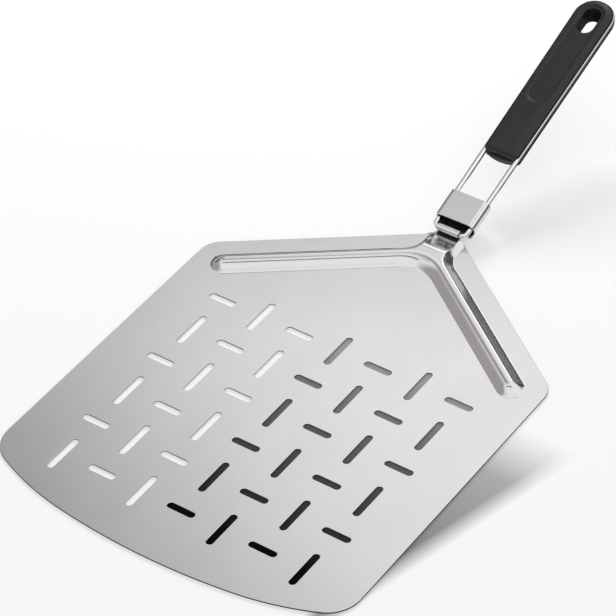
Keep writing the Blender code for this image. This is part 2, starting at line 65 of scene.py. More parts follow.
# Blade blank, measured from the centre of the slot grid
SHEET = 1.2 * MM
EDGE_BREAK = 0.22 * MM
BLADE_HALF_WIDTH = 152.5 * MM
FRONT_Y = -145.4 * MM
FRONT_RADIUS = 540 * MM
FRONT_TURN = math.radians(8)
FRONT_SIDE_RADIUS = 230 * MM
FRONT_SIDE_TURN = math.radians(24)
REAR_VERTEX_Y = 252.5 * MM
REAR_SLOPE = math.radians(35.6)
SHOULDER_RADIUS = 18 * MM
NOTCH_X = 13.2 * MM
NOTCH_ROUND = 1.6 * MM
TONGUE_HALF_WIDTH = 9.4 * MM
ARC_STEP = math.radians(4)
SMALL_ARC_STEP = math.radians(9)
FRONT_ARC_STEP = math.radians(0.6)
NORMAL_STEP = 0.02 * MM
POINT_TOLERANCE = 1e-7
# Material slot of the cut edges: partly the darker sheared edge, partly painted shade
EDGE_MATERIAL = 1
# Material slot of the roll's inside, painted near-black as shade under the rod
ROLL_SHADE_MATERIAL = 2

# Slots
SLOT_COLUMNS = 7
SLOT_ROWS = 6
SLOT_PITCH_X = 34.8 * MM
SLOT_PITCH_Y = 38.4 * MM
SLOT_LENGTH_ACROSS = 23.1 * MM
SLOT_LENGTH_ALONG = 33.2 * MM
SLOT_WIDTH = 5.6 * MM
SLOT_END_STEPS = 12

# Pressed rib: sloping outer wall with a tight crest and foot, rounded shoulder inside
RIB_HEIGHT = 6.8 * MM
RIB_CREST = 25.4 * MM
RIB_OUTER_RUN = 10.3 * MM
RIB_INNER_RUN = 11.2 * MM
RIB_EASE = (0.14, 0.12)
RIB_SHOULDER_POWER = 3.0
RIB_FOOT_POWER = 1.5
RIB_END = 174.5 * MM
RIB_END_RUN = 11.2 * MM
RIB_ROUND = 20 * MM
RIB_OUTER_LINES = (-1.08, -1.0, -0.965, -0.93, -0.895, -0.86, -0.6, -0.34, -0.12, -0.09, -0.06, -0.03)
RIB_INNER_LINES = (0.0, 0.1, 0.2, 0.3, 0.36, 0.42, 0.48, 0.54, 0.6, 0.66, 0.72, 0.78, 0.84, 0.88, 0.92,
                   0.95, 0.975, 1.0, 1.06)
RIB_NEAR = 26 * MM
RIB_NEAR_STEP = 0.8 * MM
RIB_FAR_STEP = 5.5 * MM
RIB_TIP = 20 * MM
RIB_TIP_STEP = 0.7 * MM

# Neck between the rib and the hinge roll
NECK_FLAT = 9.4 * MM
NECK_WALL = 6.0 * MM
NECK_CORNER = 9.0 * MM
NECK_CREST_Y = 220 * MM
NECK_GRID = 0.55 * MM
NECK_MARGIN = 0.35 * MM

# Hinge and handle
HINGE_Y = 244 * MM
HINGE_Z = 8.4 * MM
HANDLE_TILT = math.radians(18.3)
ROD_RADIUS = 2.0 * MM
ROLL_RADIUS = ROD_RADIUS + GAP + SHEET / 2
ROLL_ANGLE = math.radians(268)
ROLL_STEPS = 44
ROLL_SHADE_Y = 239.6 * MM
TONGUE_STRAIGHT = 5.0 * MM
ROD_END_X = 0.6 * MM
ROD_BEND = 4.0 * MM
LEG_X = 13.7 * MM
LOOP_X = 15.1 * MM
LOOP_CENTRE = 216.2 * MM
ROD_SIDES = 32

# Lock sleeve
SLEEVE_START = 8.1 * MM
SLEEVE_LENGTH = 24 * MM
SLEEVE_FLAP = 5.0 * MM
SLEEVE_SHEET = 0.9 * MM
SLEEVE_HALF_WIDTH = 17.1 * MM
SLEEVE_TOP = 4.8 * MM
SLEEVE_BOTTOM = -7.0 * MM
SLEEVE_LIP = -3.9 * MM
SLEEVE_ROUND = 4.4 * MM
SLEEVE_SEAM_HALF_WIDTH = 0.18 * MM
SLEEVE_SEAM_DEPTH = 0.4 * MM

# Grip halves
GRIP_LOW_HALF_WIDTH = 15.5 * MM
GRIP_FAR_HALF_WIDTH = 16.5 * MM
GRIP_UPPER_START = 75.1 * MM
GRIP_LOWER_START = 72.6 * MM
GRIP_UPPER_HEIGHT = 6.4 * MM
GRIP_LOWER_DEPTH = 7.6 * MM
GRIP_UPPER_ROUND = (8.4 * MM, 5.6 * MM)
GRIP_LOWER_ROUND = (3.6 * MM, 3.6 * MM)
GRIP_END_BOW = 2.0 * MM
GRIP_CORNER = 4.0 * MM
GRIP_CORNER_LEAST = 0.6 * MM
GRIP_BOW_STEPS = 16
GRIP_LEVELS = 12
PARTING = 0.15 * MM

# Thumb recess, and hang hole at the recess floor and at the underside
RECESS_HALF_WIDTH = 8.6 * MM
RECESS_START = 128.1 * MM
RECESS_END = 224.4 * MM
RECESS_DEPTH = 1.8 * MM
RECESS_SLOPE = 2.6 * MM
RECESS_STEPS = 10
RECESS_FLARE = 1.5 * MM
HOLE_TOP = (7.0 * MM, 199.2 * MM, 223.6 * MM)
HOLE_LOW = (6.0 * MM, 200.0 * MM, 218.8 * MM)
HOLE_LIP = 0.7 * MM
HOLE_LIP_STEPS = 5

# Grip screws
SCREW_PLACES = (96 * MM, 144 * MM, 189 * MM)
SCREW_HEAD_RADIUS = 2.9 * MM
SCREW_HEAD_HEIGHT = 2.0 * MM
SCREW_SHAFT_RADIUS = 1.4 * MM
SCREW_SEAT = -4.0 * MM
SCREW_TIP = 3.4 * MM
SCREW_EDGE = 0.5 * MM
SCREW_CROWN = 1.0 * MM
SCREW_CROWN_STEPS = 6
SCREW_SIDES = 40
CROSS_HALF_LENGTH = 1.7 * MM
CROSS_HALF_WIDTH = 0.42 * MM
CROSS_DEPTH = 1.1 * MM
CROSS_TAPER = 0.55

# Shading: angles from which a fold shows as sharp, in degrees, and the pull of flat faces
SHARP_ROD = 45
SHARP_SHEET = 35
SHARP_GRIP = 32
FLAT_FACE_WEIGHT = 80

COS_REAR = math.cos(REAR_SLOPE)
SIN_REAR = math.sin(REAR_SLOPE)
TAN_REAR = math.tan(REAR_SLOPE)

fold = next(joint for joint in frame["joints"] if joint["name"] == "handle_fold")
hinge_place = Vector(fold["pos_m"])
BLADE_FRAME = Matrix.Translation((0.0, cad_box[0][1] - FRONT_Y, 0.0))
HANDLE_FRAME = Matrix.Translation(hinge_place) @ Matrix.Rotation(HANDLE_TILT, 4, "X")


# Mesh helpers

def mesh_from_bmesh(name, bm):
    """A finished mesh with its faces turned outward."""
    bmesh.ops.recalc_face_normals(bm, faces=bm.faces)
    mesh = bpy.data.meshes.new(name)
    bm.to_mesh(mesh)
    bm.free()
    return mesh


def arc(centre, radius, start, end, step=ARC_STEP):
    """Points along a circular arc, both ends included."""
    count = max(2, math.ceil(abs(end - start) / step))
    points = []
    for i in range(count + 1):
        angle = start + (end - start) * i / count
        points.append((centre[0] + radius * math.cos(angle), centre[1] + radius * math.sin(angle)))
    return points


def ramp(t, ease):
    """Rise from 0 to 1 with a straight middle; ease is the rounded share at the foot and at the top."""
    low, high = ease
    t = min(max(t, 0.0), 1.0)
    rate = 1 / (1 - low / 2 - high / 2)
    if t < low:
        return rate * t * t / (2 * low)
    if t > 1 - high:
        return 1 - rate * (1 - t) ** 2 / (2 * high)
    return rate * (t - low / 2)


def loft(name, loops):
    """Skin a list of loops, each a list of points, into one closed solid."""
    bm = bmesh.new()
    rings = [[bm.verts.new(point) for point in loop] for loop in loops]
    count = len(rings[0])
    for lower, upper in zip(rings, rings[1:]):
        for i in range(count):
            j = (i + 1) % count
            bm.faces.new((lower[i], lower[j], upper[j], upper[i]))
    bm.faces.new(rings[0][::-1])
    bm.faces.new(rings[-1])
    return mesh_from_bmesh(name, bm)


def carve(name, mesh, cutters):
    """The mesh with every cutter's space taken out of it."""
    temporary = [bpy.data.objects.new(name + "_work", mesh)]
    for number, cutter in enumerate(cutters):
        temporary.append(bpy.data.objects.new(f"{name}_cut_{number}", cutter))
    for item in temporary:
        scene.collection.objects.link(item)
    for cutter in temporary[1:]:
        boolean = temporary[0].modifiers.new(cutter.name, "BOOLEAN")
        boolean.operation = "DIFFERENCE"
        boolean.solver = "MANIFOLD"
        boolean.object = cutter
    graph = bpy.context.evaluated_depsgraph_get()
    result = bpy.data.meshes.new_from_object(temporary[0].evaluated_get(graph))
    result.name = name
    result.materials.clear()
    for item in temporary:
        bpy.data.objects.remove(item, do_unlink=True)
    return result


def piece(name, mesh, place, body, node, slot, *materials):
    """A shown piece that stands for one solid and moves with its body."""
    mesh.transform(place)
    item = bpy.data.objects.new(name, mesh)
    scene.collection.objects.link(item)
    for material in materials:
        mesh.materials.append(material)
    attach(item, body)
    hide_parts(node)
    return item


def smooth(item, sharp_degrees):
    """Smooth shading with sharp folds and flat faces kept flat."""
    item.data.shade_smooth()
    item.data.set_sharp_from_angle(angle=math.radians(sharp_degrees))
    flat_faces = item.modifiers.new("flat_faces", "WEIGHTED_NORMAL")
    flat_faces.keep_sharp = True
    flat_faces.weight = FLAT_FACE_WEIGHT


# Blade

def rear_blend(x):
    """Rounding taken off the rear offset near the middle."""
    blend = max(RIB_ROUND - 2 * SIN_REAR * abs(x), 0.0) / RIB_ROUND
    return RIB_ROUND * blend * blend / 4


def rear_offset(x, y):
    """Distance inward from the slanted rear edges, rounded where the two sides meet."""
    return (REAR_VERTEX_Y - TAN_REAR * abs(x) - y) * COS_REAR - rear_blend(x)


def rear_contour(x, offset):
    """The y of the line at one offset from the rear edges."""
    return REAR_VERTEX_Y - TAN_REAR * abs(x) - (offset + rear_blend(x)) / COS_REAR


def wall_share(x, y):
    """Share of the full height on the outer wall of rib and neck, rounded in the corner between them."""
    from_rib = RIB_CREST - rear_offset(x, y)
    from_neck = abs(x) - NECK_FLAT
    overlap = max(NECK_CORNER - abs(from_rib - from_neck), 0.0)
    outward = min(from_rib, from_neck) - overlap * overlap / (4 * NECK_CORNER)
    neck = min(max(0.5 + (from_rib - from_neck) / (2 * NECK_CORNER), 0.0), 1.0)
    run = RIB_OUTER_RUN + (NECK_WALL - RIB_OUTER_RUN) * neck
    return ramp(1 - outward / run, RIB_EASE)


def nose_share(across, past):
    """Share of the full height inside the rib's crest and all round the end of the crest."""
    reach = math.hypot(across, past)
    inner = (across / reach + 1) / 2 if reach else 1.0
    run = RIB_OUTER_RUN + (RIB_INNER_RUN - RIB_OUTER_RUN) * inner
    t = min(reach / run, 1.0)
    shoulder = (1 - t ** RIB_SHOULDER_POWER) ** RIB_FOOT_POWER
    wall = ramp(1 - t, RIB_EASE)
    return wall + (shoulder - wall) * inner


def roll_start():
    """Where the tongue's middle surface meets the roll: y, and height over the flat plate."""
    y = HINGE_Y + ROLL_RADIUS * math.sin(HANDLE_TILT)
    height = HINGE_Z - ROLL_RADIUS * math.cos(HANDLE_TILT) - SHEET / 2
    return y, height


def ridge_height(y):
    """Height along the middle of rib, neck and tongue."""
    start_y, start_height = roll_start()
    slope_y = start_y - TONGUE_STRAIGHT
    slope_height = start_height - TONGUE_STRAIGHT * math.tan(HANDLE_TILT)
    if y > slope_y:
        return start_height - (start_y - y) * math.tan(HANDLE_TILT)
    # Cubic from the level crest of the rib to the sloping tongue
    t = min(max((y - NECK_CREST_Y) / (slope_y - NECK_CREST_Y), 0.0), 1.0)
    span = (slope_y - NECK_CREST_Y) * math.tan(HANDLE_TILT)
    return RIB_HEIGHT + (slope_height - RIB_HEIGHT) * t * t * (3 - 2 * t) + span * t * t * (t - 1)


def press_height(x, y):
    """Height of the sheet's middle surface over the flat plate."""
    across = rear_offset(x, y) - RIB_CREST
    along = COS_REAR * (abs(x) + TAN_REAR * (REAR_VERTEX_Y - y))
    past = max(along - RIB_END, 0.0)
    share = nose_share(across, past) if past or across > 0 else wall_share(x, y)
    return ridge_height(y) * share


def sheet_point(x, y):
    """Place a point of the flat blank on the pressed and rolled middle surface."""
    start_y = roll_start()[0]
    if y <= start_y:
        return Vector((x, y, SHEET / 2 + press_height(x, y)))
    angle = (y - start_y) / ROLL_RADIUS + HANDLE_TILT
    return Vector((x, HINGE_Y + ROLL_RADIUS * math.sin(angle), HINGE_Z - ROLL_RADIUS * math.cos(angle)))


def sheet_normal(x, y):
    """Upward normal of the formed middle surface at a point of the flat blank."""
    along_x = sheet_point(x + NORMAL_STEP, y) - sheet_point(x - NORMAL_STEP, y)
    along_y = sheet_point(x, y + NORMAL_STEP) - sheet_point(x, y - NORMAL_STEP)
    return along_x.cross(along_y).normalized()


def front_half():
    """Right half of the front edge: two wide arcs and a corner, each tangent to the one before."""
    points = [(0.0, FRONT_Y)]
    arcs = ((FRONT_RADIUS, 0.0, FRONT_TURN), (FRONT_SIDE_RADIUS, FRONT_TURN, FRONT_SIDE_TURN))
    for radius, start, end in arcs:
        x, y = points[-1]
        centre = (x - radius * math.sin(start), y + radius * math.cos(start))
        points += arc(centre, radius, start - math.pi / 2, end - math.pi / 2, FRONT_ARC_STEP)[1:]
    x, y = points[-1]
    corner = (BLADE_HALF_WIDTH - x) / (1 - math.sin(FRONT_SIDE_TURN))
    centre = (BLADE_HALF_WIDTH - corner, y + corner * math.cos(FRONT_SIDE_TURN))
    return points + arc(centre, corner, FRONT_SIDE_TURN - math.pi / 2, 0.0)[1:]


def half_outline():
    """Right half of the blank, from the front apex to the notch beside the tongue."""
    points = front_half()
    shoulder_corner_y = REAR_VERTEX_Y - TAN_REAR * BLADE_HALF_WIDTH
    turn = math.pi / 2 - REAR_SLOPE
    shoulder_y = shoulder_corner_y - SHOULDER_RADIUS * math.tan(turn / 2)
    points += arc((BLADE_HALF_WIDTH - SHOULDER_RADIUS, shoulder_y), SHOULDER_RADIUS, 0.0, turn)
    notch_y = REAR_VERTEX_Y - TAN_REAR * NOTCH_X
    edge_x, edge_y = points[-1]
    run = max(3, round((edge_x - NOTCH_X) / RIB_FAR_STEP))
    for i in range(1, run):
        t = i / run
        points.append((edge_x + (NOTCH_X - edge_x) * t, edge_y + (notch_y - edge_y) * t))
    points += arc((NOTCH_X - NOTCH_ROUND * SIN_REAR, notch_y - NOTCH_ROUND * COS_REAR),
                  NOTCH_ROUND, math.pi / 2 - REAR_SLOPE, math.pi / 2, SMALL_ARC_STEP)
    inner_y = points[-1][1]
    points += arc((TONGUE_HALF_WIDTH + NOTCH_ROUND, inner_y + NOTCH_ROUND), NOTCH_ROUND,
                  -math.pi / 2, -math.pi, SMALL_ARC_STEP)
    return points


def tongue_lines():
    """The y of each cross line on the tongue, up to its rolled end."""
    start_y = roll_start()[0]
    length = ROLL_RADIUS * (ROLL_ANGLE - HANDLE_TILT)
    return [start_y + length * i / ROLL_STEPS for i in range(ROLL_STEPS + 1)]


def inset(loop, distance):
    """A closed counter-clockwise loop drawn inward by a small distance."""
    moved = []
    count = len(loop)
    for i, (x, y) in enumerate(loop):
        before = loop[i - 1]
        after = loop[(i + 1) % count]
        along = Vector((after[0] - before[0], after[1] - before[1])).normalized()
        moved.append((x - along.y * distance, y + along.x * distance))
    return moved


def slot_outline(x, y, length, angle, grow):
    """A slot with round ends, grown outward by a small distance."""
    reach = (length - SLOT_WIDTH) / 2
    points = []
    for side in (0, 1):
        facing = angle + math.pi * side
        centre = (x + reach * math.cos(facing), y + reach * math.sin(facing))
        start = facing - math.pi / 2
        points += arc(centre, SLOT_WIDTH / 2 + grow, start, start + math.pi, math.pi / SLOT_END_STEPS)
    return points


def slot_places():
    """Centre, length and angle of every slot."""
    found = []
    for column in range(SLOT_COLUMNS):
        for row in range(SLOT_ROWS):
            x = (column - (SLOT_COLUMNS - 1) / 2) * SLOT_PITCH_X
            y = ((SLOT_ROWS - 1) / 2 - row) * SLOT_PITCH_Y
            across = (column + row) % 2 == 0
            length = SLOT_LENGTH_ACROSS if across else SLOT_LENGTH_ALONG
            found.append((x, y, length, 0.0 if across else math.pi / 2))
    return found


def spaced(start, end, step):
    """Even places from start, which is left out, to end, no further apart than the step."""
    count = max(1, math.ceil((end - start) / step))
    return [start + (end - start) * (i + 1) / count for i in range(count)]


def rib_lines():
    """Lines along the rib, close together over the neck and at both tips."""
    lines = []
    for place in RIB_OUTER_LINES + RIB_INNER_LINES:
        run = RIB_OUTER_RUN if place < 0 else RIB_INNER_RUN
        offset = RIB_CREST + place * run
        reach = COS_REAR * (RIB_END + RIB_END_RUN) - SIN_REAR * offset
        half = [0.0] + spaced(0.0, RIB_NEAR, RIB_NEAR_STEP)
        half += spaced(RIB_NEAR, reach - RIB_TIP, RIB_FAR_STEP)
        half += spaced(reach - RIB_TIP, reach + RIB_TIP_STEP, RIB_TIP_STEP)
        xs = [-x for x in half[:0:-1]] + half
        lines.append([(x, rear_contour(x, offset)) for x in xs])
    return lines


def neck_points(outline_top):
    """Loose points over the neck, for a smooth saddle."""
    points = []
    reach = NECK_FLAT + NECK_WALL + NECK_CORNER
    low = rear_contour(reach, RIB_CREST)
    columns = math.ceil(reach / NECK_GRID)
    rows = math.ceil((outline_top - low) / NECK_GRID)
    for i in range(-columns, columns + 1):
        for j in range(rows):
            x = i * NECK_GRID
            y = low + j * NECK_GRID
            inside = NECK_MARGIN < rear_offset(x, y) < RIB_CREST - NECK_MARGIN
            if inside and y < outline_top - NECK_MARGIN:
                points.append((x, y))
    return points


def in_slot(point, places):
    """Whether a point of the blank lies in one of the slots."""
    for x, y, length, angle in places:
        along = (point.x - x) * math.cos(angle) + (point.y - y) * math.sin(angle)
        across = (point.y - y) * math.cos(angle) - (point.x - x) * math.sin(angle)
        past = max(abs(along) - (length - SLOT_WIDTH) / 2, 0.0)
        if math.hypot(past, across) < SLOT_WIDTH / 2:
            return True
    return False


def blade_plan():
    """The flat blank in triangles: points, triangles, and which points lie on an edge or the outline."""
    right = half_outline()
    notch_top = right[-1][1]
    lines = [y for y in tongue_lines() if y > notch_top]
    right += [(TONGUE_HALF_WIDTH, y) for y in lines]
    outline = right + [(-x, y) for x, y in right[:0:-1]]
    points = []
    edges = []
    rim = set()

    def add_chain(chain, closed, on_rim=False):
        first = len(points)
        points.extend(Vector(point) for point in chain)
        edges.extend((first + i, first + i + 1) for i in range(len(chain) - 1))
        if closed:
            edges.append((first + len(chain) - 1, first))
        if on_rim:
            rim.update(range(first, len(points)))

    add_chain(outline, True, True)
    add_chain(inset(outline, EDGE_BREAK), True)
    for y in lines[:-1] + [ROLL_SHADE_Y]:
        add_chain([(EDGE_BREAK - TONGUE_HALF_WIDTH, y), (TONGUE_HALF_WIDTH - EDGE_BREAK, y)], False)
    places = slot_places()
    for place in places:
        add_chain(slot_outline(*place, 0.0), True, True)
        add_chain(slot_outline(*place, EDGE_BREAK), True)
    for line in rib_lines():
        add_chain(line, False)
    points.extend(Vector(point) for point in neck_points(notch_top))

    flat, _, triangles, sources, *_ = delaunay_2d_cdt(points, edges, [], 1, POINT_TOLERANCE)
    solid = []
    for triangle in triangles:
        middle = sum((flat[i] for i in triangle), Vector((0.0, 0.0))) / 3
        if not in_slot(middle, places):
            solid.append(triangle)
    on_rim = [any(i in rim for i in source) for source in sources]
    on_outline = [any(i < len(outline) for i in source) for source in sources]
    return flat, solid, on_rim, on_outline


def on_roll(point):
    """Whether a point of the blank lies on the tongue's rolled end, where dark shade is painted."""
    return point.y > ROLL_SHADE_Y - POINT_TOLERANCE and abs(point.x) < TONGUE_HALF_WIDTH


def blade_mesh():
    """The formed sheet with broken edges; its wide faces take the formed surface's normals."""
    flat, triangles, on_rim, on_outline = blade_plan()
    normals = [sheet_normal(point.x, point.y) for point in flat]
    bm = bmesh.new()
    upper = []
    lower = []
    for point, normal, edge in zip(flat, normals, on_rim):
        middle = sheet_point(point.x, point.y)
        half = SHEET / 2 - (EDGE_BREAK if edge else 0.0)
        upper.append(bm.verts.new(middle + normal * half))
        lower.append(bm.verts.new(middle - normal * half))
    corner_normals = []
    seen = set()
    for a, b, c in triangles:
        corners = (a, b, c)
        chamfer = any(on_rim[i] for i in corners)
        top = bm.faces.new([upper[i] for i in corners])
        bm.faces.new([lower[i] for i in corners[::-1]])
        # The outline's chamfer also takes the dark edge steel, as painted shade along the blade's outer edge
        if any(on_outline[i] for i in corners):
            top.material_index = EDGE_MATERIAL
        # Faces inside the hinge roll take near-black steel: painted shade in the gap under the rod
        elif not chamfer and all(on_roll(flat[i]) for i in corners):
            top.material_index = ROLL_SHADE_MATERIAL
        if chamfer:
            corner_normals += [None] * (2 * len(corners))
        else:
            corner_normals += [normals[i] for i in corners] + [-normals[i] for i in corners[::-1]]
        seen.update(((a, b), (b, c), (c, a)))
    for a, b in sorted(seen):
        if (b, a) not in seen:
            wall = bm.faces.new((lower[a], lower[b], upper[b], upper[a]))
            wall.material_index = EDGE_MATERIAL
            corner_normals += [None] * 4
    loose = [vert for vert in bm.verts if not vert.link_faces]
    bmesh.ops.delete(bm, geom=loose, context="VERTS")
    mesh = bpy.data.meshes.new("peel_blade")
    bm.to_mesh(mesh)
    bm.free()
    mesh.shade_smooth()
    loops = []
    for polygon in mesh.polygons:
        for index in polygon.loop_indices:
            loops.append(corner_normals[index] or polygon.normal.copy())
    mesh.normals_split_custom_set(loops)
    return mesh


# Handle pieces, with Y along the handle and Z out of its top

def rod_path():
    """The rod's centre line as x and distance along the handle."""
    half = [(ROD_END_X, 0.0)]
    half += arc((LEG_X - ROD_BEND, ROD_BEND), ROD_BEND, -math.pi / 2, 0.0, SMALL_ARC_STEP)
    half += arc((0.0, LOOP_CENTRE), LOOP_X, 0.0, math.pi / 2)
    return half + [(-x, s) for x, s in half[-2::-1]]


def rod_mesh(name, radius):
    """A round rod along the path, with mitred rings."""
    path = [Vector(point) for point in rod_path()]
    loops = []
    for i, point in enumerate(path):
        before = (point - path[max(i - 1, 0)]).normalized()
        after = (path[min(i + 1, len(path) - 1)] - point).normalized()
        tangent = (before + after).normalized()
        mitre = 1 / max(tangent.dot(before), tangent.dot(after))
        side = Vector((tangent.y, -tangent.x)) * mitre
        loop = []
        for k in range(ROD_SIDES):
            angle = 2 * math.pi * (k + 0.5) / ROD_SIDES
            across = side * radius * math.cos(angle)
            loop.append((point.x + across.x, point.y + across.y, radius * math.sin(angle)))
        loops.append(loop)
    return loft(name, loops)


def rounded_box_loop(half_width, top, bottom, rounding, y):
    """A rounded rectangle across the handle at one distance along it."""
    points = []
    corners = ((1, top - rounding), (-1, top - rounding), (-1, bottom + rounding), (1, bottom + rounding))
    for quarter, (side, z) in enumerate(corners):
        start = quarter * math.pi / 2
        centre = (side * (half_width - rounding), z)
        points += arc(centre, rounding, start, start + math.pi / 2, SMALL_ARC_STEP)
    return [(x, y, z) for x, z in points]


def block(name, half_width, top, bottom, rounding, start, end):
    """A rounded bar along the handle."""
    size = (half_width, top, bottom, rounding)
    return loft(name, [rounded_box_loop(*size, start), rounded_box_loop(*size, end)])


def sleeve_mesh():
    """Folded sleeve with its open mouth, turned-up lip, rod holes and the seam under it."""
    start = SLEEVE_START
    end = start + SLEEVE_LENGTH
    low = start - SLEEVE_FLAP
    outside = block("sleeve", SLEEVE_HALF_WIDTH, SLEEVE_TOP, SLEEVE_BOTTOM, SLEEVE_ROUND, low, end)
    wide = SLEEVE_HALF_WIDTH - SLEEVE_SHEET
    top = SLEEVE_TOP - SLEEVE_SHEET
    rounding = SLEEVE_ROUND - SLEEVE_SHEET
    inside = block("inside", wide, top, SLEEVE_BOTTOM + SLEEVE_SHEET, rounding,
                   low + SLEEVE_SHEET, end - SLEEVE_SHEET)
    mouth = block("mouth", wide, top, SLEEVE_LIP, rounding, low - REACH, start + SLEEVE_LENGTH / 2)
    over_flap = block("over_flap", SLEEVE_HALF_WIDTH + REACH, SLEEVE_TOP + REACH, SLEEVE_LIP,
                      SLEEVE_SHEET, low - REACH, start)
    seam = block("seam", SLEEVE_SEAM_HALF_WIDTH, SLEEVE_BOTTOM + SLEEVE_SEAM_DEPTH, SLEEVE_BOTTOM - REACH,
                 SLEEVE_SEAM_HALF_WIDTH / 2, low - REACH, end + REACH)
    rods = rod_mesh("rod_holes", ROD_RADIUS + GAP)
    return carve("peel_sleeve", outside, [inside, mouth, over_flap, seam, rods])


def grip_outline(start, inward, bow):
    """Plan of a grip half: bowed lower end, slightly spreading sides and a round far end."""
    half = GRIP_LOW_HALF_WIDTH - inward
    low = start + inward
    corner = max(GRIP_CORNER - inward, GRIP_CORNER_LEAST)
    points = arc((half - corner, low + bow + corner), corner, -math.pi / 2, 0.0, SMALL_ARC_STEP)
    points += arc((0.0, LOOP_CENTRE), GRIP_FAR_HALF_WIDTH - inward, 0.0, math.pi)
    points += arc((corner - half, low + bow + corner), corner, -math.pi, -math.pi / 2, SMALL_ARC_STEP)
    for i in range(1, GRIP_BOW_STEPS):
        t = -1 + 2 * i / GRIP_BOW_STEPS
        points.append((t * (half - corner), low + bow * t * t))
    return points


def grip_half(name, start, height, rounding, bow, side):
    """A moulded half with rounded edges, on one side of the parting plane."""
    loops = [[(x, y, side * PARTING) for x, y in grip_outline(start, 0.0, bow)]]
    for i in range(GRIP_LEVELS + 1):
        angle = math.pi / 2 * i / GRIP_LEVELS
        inward = rounding[0] * (1 - math.cos(angle))
        level = height - rounding[1] * (1 - math.sin(angle))
        loops.append([(x, y, side * level) for x, y in grip_outline(start, inward, bow)])
    return loft(name, loops)


def stadium(half_width, start, end, z):
    """A long opening with round ends."""
    points = arc((0.0, end - half_width), half_width, 0.0, math.pi)
    points += arc((0.0, start + half_width), half_width, math.pi, 2 * math.pi)
    return [(x, y, z) for x, y in points]


def hang_hole():
    """Cutter of the hang hole: tapered, with a rounded lip at the recess floor and at the underside."""
    floor = GRIP_UPPER_HEIGHT - RECESS_DEPTH

    def ring(share, grow, z):
        half, start, end = (low + (top - low) * share for low, top in zip(HOLE_LOW, HOLE_TOP))
        return stadium(half + grow, start - grow, end + grow, z)

    turns = [math.pi / 2 * i / HOLE_LIP_STEPS for i in range(HOLE_LIP_STEPS + 1)]
    loops = [ring(0.0, HOLE_LIP, -GRIP_LOWER_DEPTH - REACH)]
    for turn in turns:
        rise = HOLE_LIP * (1 - math.cos(turn))
        loops.append(ring(0.0, HOLE_LIP * (1 - math.sin(turn)), rise - GRIP_LOWER_DEPTH))
    for turn in turns:
        drop = HOLE_LIP * (1 - math.sin(turn))
        loops.append(ring(1.0, HOLE_LIP * (1 - math.cos(turn)), floor - drop))
    loops.append(ring(1.0, HOLE_LIP, floor + REACH))
    return loft("hang_hole", loops)


def recess():
    """Cutter of the shallow thumb recess, with a soft foot and a soft rim."""
    floor = GRIP_UPPER_HEIGHT - RECESS_DEPTH

    def ring(grow, z):
        return stadium(RECESS_HALF_WIDTH + grow, RECESS_START - grow, RECESS_END + grow, z)

    loops = []
    for i in range(RECESS_STEPS):
        t = i / RECESS_STEPS
        loops.append(ring(RECESS_SLOPE * t, floor + RECESS_DEPTH * t * t * (3 - 2 * t)))
    loops.append(ring(RECESS_SLOPE + REACH, GRIP_UPPER_HEIGHT + RECESS_FLARE))
    return loft("recess", loops)


def turned(name, profile, place):
    """A round solid about an upright axis, from radius and height pairs."""
    loops = []
    for radius, z in profile:
        loop = []
        for i in range(SCREW_SIDES):
            angle = 2 * math.pi * i / SCREW_SIDES
            loop.append((radius * math.cos(angle), place + radius * math.sin(angle), z))
        loops.append(loop)
    return loft(name, loops)


def screw_hole(place):
    """Cutter of a sunk screw's hole, open to the underside."""
    head = SCREW_HEAD_RADIUS + GAP
    shaft = SCREW_SHAFT_RADIUS + FIT
    seat = SCREW_SEAT + FIT
    mouth = -GRIP_LOWER_DEPTH
    return turned("screw_hole", [(head + REACH, mouth - REACH), (head + SCREW_EDGE, mouth),
                                 (head, mouth + SCREW_EDGE), (head, seat), (shaft, seat),
                                 (shaft, SCREW_TIP + GAP)], place)


def screw_mesh(name, place):
    """Pan head screw with a cross recess in its head."""
    bottom = SCREW_SEAT - SCREW_HEAD_HEIGHT
    profile = []
    for i in range(SCREW_CROWN_STEPS + 1):
        angle = math.pi / 2 * i / SCREW_CROWN_STEPS
        radius = SCREW_HEAD_RADIUS - SCREW_CROWN * (1 - math.sin(angle))
        profile.append((radius, bottom + SCREW_EDGE * (1 - math.cos(angle))))
    profile += [(SCREW_HEAD_RADIUS, SCREW_SEAT), (SCREW_SHAFT_RADIUS, SCREW_SEAT),
                (SCREW_SHAFT_RADIUS, SCREW_TIP - 2 * SCREW_EDGE),
                (SCREW_SHAFT_RADIUS - SCREW_EDGE, SCREW_TIP)]
    body = turned(name, profile, place)
    arms = []
    for long_x, long_y in ((CROSS_HALF_LENGTH, CROSS_HALF_WIDTH), (CROSS_HALF_WIDTH, CROSS_HALF_LENGTH)):
        loops = []
        for z, share in ((bottom - REACH, 1.0), (bottom, 1.0), (bottom + CROSS_DEPTH, CROSS_TAPER)):
            loops.append([(sx * long_x * share, place + sy * long_y * share, z)
                          for sx, sy in ((1, 1), (-1, 1), (-1, -1), (1, -1))])
        arms.append(loft("cross", loops))
    return carve(name, body, arms)

# Materials

NOISE_RANGE = (0.3, 0.7)
NOISE_ROUGHNESS = 0.55
CLOUD_SIZE = (60 * MM, 90 * MM, 60 * MM)
SCRATCH_SIZE = (3.8 * MM, 30 * MM, 3.8 * MM)
SCRATCH_RANGE = (0.66, 0.74)
SCRATCH_ROUGH = 0.02
GRAIN_TONE = 0.5
GRAIN_DEPTH = 0.02 * MM
FINE_SIZE = (0.38 * MM,) * 3
FINE_DEPTH = 0.03 * MM
COARSE_SIZE = (1.1 * MM,) * 3
COARSE_DEPTH = 0.05 * MM
SPARK_STRENGTH = 0.10
HANDLED_SIZE = (14 * MM, 38 * MM, 14 * MM)
PLASTIC_ROUGH = (0.33, 0.42)
PLASTIC_SPECULAR = 0.55

